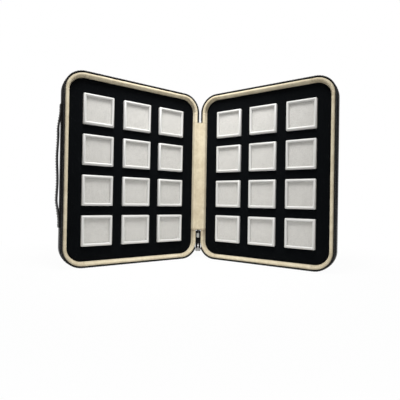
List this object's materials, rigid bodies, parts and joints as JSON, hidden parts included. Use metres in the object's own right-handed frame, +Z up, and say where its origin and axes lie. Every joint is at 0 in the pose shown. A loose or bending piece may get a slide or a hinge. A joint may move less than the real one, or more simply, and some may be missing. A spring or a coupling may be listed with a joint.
{
  "type": "zip-up gemstone display case",
  "caption": "Padded zip-up case that opens like a book, with small lidded display boxes seated in foam in both halves.",
  "frame": {"origin": "on the ground, in the middle of the footprint's box, with the case stood open as in the picture", "axes": "+X from the left half to the right half, +Y from the open mouth towards the spine, +Z up along the spine"},
  "size_m": [0.2742, 0.0942, 0.1892],
  "materials": {
    "leather_black": "grained, satin",
    "suede_cream": "napped, matt",
    "foam_black": "velvety, matt",
    "padding_foam": "matt",
    "board": "matt",
    "zip_tape_black": "woven, matt",
    "zip_plastic_black": "satin",
    "metal_grey": "satin",
    "box_white": "smooth"
  },
  "bodies": {
    "left_half": {"left_cover": "leather_black", "left_padding": "padding_foam", "left_back_board": "board", "left_padded_roll": "suede_cream", "left_foam_insert": "foam_black", "left_zip_tape": "zip_tape_black", "left_zip_teeth": "zip_plastic_black", "left_zip_top_stop": "metal_grey", "left_spine_flap": "leather_black", "left_spine_lining": "suede_cream", "carry_strap": "leather_black"},
    "right_half": {"right_cover": "leather_black", "right_padding": "padding_foam", "right_back_board": "board", "right_padded_roll": "suede_cream", "right_foam_insert": "foam_black", "right_zip_tape": "zip_tape_black", "right_zip_teeth": "zip_plastic_black", "right_zip_top_stop": "metal_grey", "right_spine_flap": "leather_black", "right_spine_lining": "suede_cream"},
    "spine": {"spine_strip": "leather_black", "zip_end_tapes": "zip_tape_black", "zip_bottom_stop": "metal_grey"},
    "slider": {"zip_slider": "metal_grey"},
    "pull": {"zip_pull": "metal_grey"},
    "left_gem_box_r1_c1": {"left_gem_box_r1_c1": "box_white"},
    "left_gem_box_r1_c2": {"left_gem_box_r1_c2": "box_white"},
    "left_gem_box_r1_c3": {"left_gem_box_r1_c3": "box_white"},
    "left_gem_box_r2_c1": {"left_gem_box_r2_c1": "box_white"},
    "left_gem_box_r2_c2": {"left_gem_box_r2_c2": "box_white"},
    "left_gem_box_r2_c3": {"left_gem_box_r2_c3": "box_white"},
    "left_gem_box_r3_c1": {"left_gem_box_r3_c1": "box_white"},
    "left_gem_box_r3_c2": {"left_gem_box_r3_c2": "box_white"},
    "left_gem_box_r3_c3": {"left_gem_box_r3_c3": "box_white"},
    "left_gem_box_r4_c1": {"left_gem_box_r4_c1": "box_white"},
    "left_gem_box_r4_c2": {"left_gem_box_r4_c2": "box_white"},
    "left_gem_box_r4_c3": {"left_gem_box_r4_c3": "box_white"},
    "right_gem_box_r1_c1": {"right_gem_box_r1_c1": "box_white"},
    "right_gem_box_r1_c2": {"right_gem_box_r1_c2": "box_white"},
    "right_gem_box_r1_c3": {"right_gem_box_r1_c3": "box_white"},
    "right_gem_box_r2_c1": {"right_gem_box_r2_c1": "box_white"},
    "right_gem_box_r2_c2": {"right_gem_box_r2_c2": "box_white"},
    "right_gem_box_r2_c3": {"right_gem_box_r2_c3": "box_white"},
    "right_gem_box_r3_c1": {"right_gem_box_r3_c1": "box_white"},
    "right_gem_box_r3_c2": {"right_gem_box_r3_c2": "box_white"},
    "right_gem_box_r3_c3": {"right_gem_box_r3_c3": "box_white"},
    "right_gem_box_r4_c1": {"right_gem_box_r4_c1": "box_white"},
    "right_gem_box_r4_c2": {"right_gem_box_r4_c2": "box_white"},
    "right_gem_box_r4_c3": {"right_gem_box_r4_c3": "box_white"}
  },
  "joints": [
    {"name": "case_fold", "type": "hinge", "parent": "spine", "child": "right_half", "pos_m": [0.00297, 0.03245, 0.0946], "axis": [0, 0, 1], "range_deg": [-58, 32]},
    {"name": "pull_swing", "type": "hinge", "parent": "slider", "child": "pull", "pos_m": [0.00167, 0.03565, 0.0264], "axis": [-1, 0, 0], "range_deg": [-170, 0]},
    {"name": "slider_run", "type": "slide", "parent": "spine", "child": "slider", "axis": [0, 0, 1], "range_m": [-0.003, 0]},
    {"name": "case_fold_left", "type": "hinge", "parent": "spine", "child": "left_half", "pos_m": [0.00037, 0.03245, 0.0946], "axis": [0, 0, -1], "range_deg": [-58, 32]},
    {"name": "take_out_left_r1_c1", "type": "slide", "parent": "left_half", "child": "left_gem_box_r1_c1", "axis": [0.5299, -0.848, 0], "range_m": [0, 0.025]},
    {"name": "take_out_left_r1_c2", "type": "slide", "parent": "left_half", "child": "left_gem_box_r1_c2", "axis": [0.5299, -0.848, 0], "range_m": [0, 0.025]},
    {"name": "take_out_left_r1_c3", "type": "slide", "parent": "left_half", "child": "left_gem_box_r1_c3", "axis": [0.5299, -0.848, 0], "range_m": [0, 0.025]},
    {"name": "take_out_left_r2_c1", "type": "slide", "parent": "left_half", "child": "left_gem_box_r2_c1", "axis": [0.5299, -0.848, 0], "range_m": [0, 0.025]},
    {"name": "take_out_left_r2_c2", "type": "slide", "parent": "left_half", "child": "left_gem_box_r2_c2", "axis": [0.5299, -0.848, 0], "range_m": [0, 0.025]},
    {"name": "take_out_left_r2_c3", "type": "slide", "parent": "left_half", "child": "left_gem_box_r2_c3", "axis": [0.5299, -0.848, 0], "range_m": [0, 0.025]},
    {"name": "take_out_left_r3_c1", "type": "slide", "parent": "left_half", "child": "left_gem_box_r3_c1", "axis": [0.5299, -0.848, 0], "range_m": [0, 0.025]},
    {"name": "take_out_left_r3_c2", "type": "slide", "parent": "left_half", "child": "left_gem_box_r3_c2", "axis": [0.5299, -0.848, 0], "range_m": [0, 0.025]},
    {"name": "take_out_left_r3_c3", "type": "slide", "parent": "left_half", "child": "left_gem_box_r3_c3", "axis": [0.5299, -0.848, 0], "range_m": [0, 0.025]},
    {"name": "take_out_left_r4_c1", "type": "slide", "parent": "left_half", "child": "left_gem_box_r4_c1", "axis": [0.5299, -0.848, 0], "range_m": [0, 0.025]},
    {"name": "take_out_left_r4_c2", "type": "slide", "parent": "left_half", "child": "left_gem_box_r4_c2", "axis": [0.5299, -0.848, 0], "range_m": [0, 0.025]},
    {"name": "take_out_left_r4_c3", "type": "slide", "parent": "left_half", "child": "left_gem_box_r4_c3", "axis": [0.5299, -0.848, 0], "range_m": [0, 0.025]},
    {"name": "take_out_right_r1_c1", "type": "slide", "parent": "right_half", "child": "right_gem_box_r1_c1", "axis": [-0.5299, -0.848, 0], "range_m": [0, 0.025]},
    {"name": "take_out_right_r1_c2", "type": "slide", "parent": "right_half", "child": "right_gem_box_r1_c2", "axis": [-0.5299, -0.848, 0], "range_m": [0, 0.025]},
    {"name": "take_out_right_r1_c3", "type": "slide", "parent": "right_half", "child": "right_gem_box_r1_c3", "axis": [-0.5299, -0.848, 0], "range_m": [0, 0.025]},
    {"name": "take_out_right_r2_c1", "type": "slide", "parent": "right_half", "child": "right_gem_box_r2_c1", "axis": [-0.5299, -0.848, 0], "range_m": [0, 0.025]},
    {"name": "take_out_right_r2_c2", "type": "slide", "parent": "right_half", "child": "right_gem_box_r2_c2", "axis": [-0.5299, -0.848, 0], "range_m": [0, 0.025]},
    {"name": "take_out_right_r2_c3", "type": "slide", "parent": "right_half", "child": "right_gem_box_r2_c3", "axis": [-0.5299, -0.848, 0], "range_m": [0, 0.025]},
    {"name": "take_out_right_r3_c1", "type": "slide", "parent": "right_half", "child": "right_gem_box_r3_c1", "axis": [-0.5299, -0.848, 0], "range_m": [0, 0.025]},
    {"name": "take_out_right_r3_c2", "type": "slide", "parent": "right_half", "child": "right_gem_box_r3_c2", "axis": [-0.5299, -0.848, 0], "range_m": [0, 0.025]},
    {"name": "take_out_right_r3_c3", "type": "slide", "parent": "right_half", "child": "right_gem_box_r3_c3", "axis": [-0.5299, -0.848, 0], "range_m": [0, 0.025]},
    {"name": "take_out_right_r4_c1", "type": "slide", "parent": "right_half", "child": "right_gem_box_r4_c1", "axis": [-0.5299, -0.848, 0], "range_m": [0, 0.025]},
    {"name": "take_out_right_r4_c2", "type": "slide", "parent": "right_half", "child": "right_gem_box_r4_c2", "axis": [-0.5299, -0.848, 0], "range_m": [0, 0.025]},
    {"name": "take_out_right_r4_c3", "type": "slide", "parent": "right_half", "child": "right_gem_box_r4_c3", "axis": [-0.5299, -0.848, 0], "range_m": [0, 0.025]}
  ],
  "couplings": [
    {"joint": "case_fold_left", "follows": "case_fold", "ratio": 1}
  ]
}
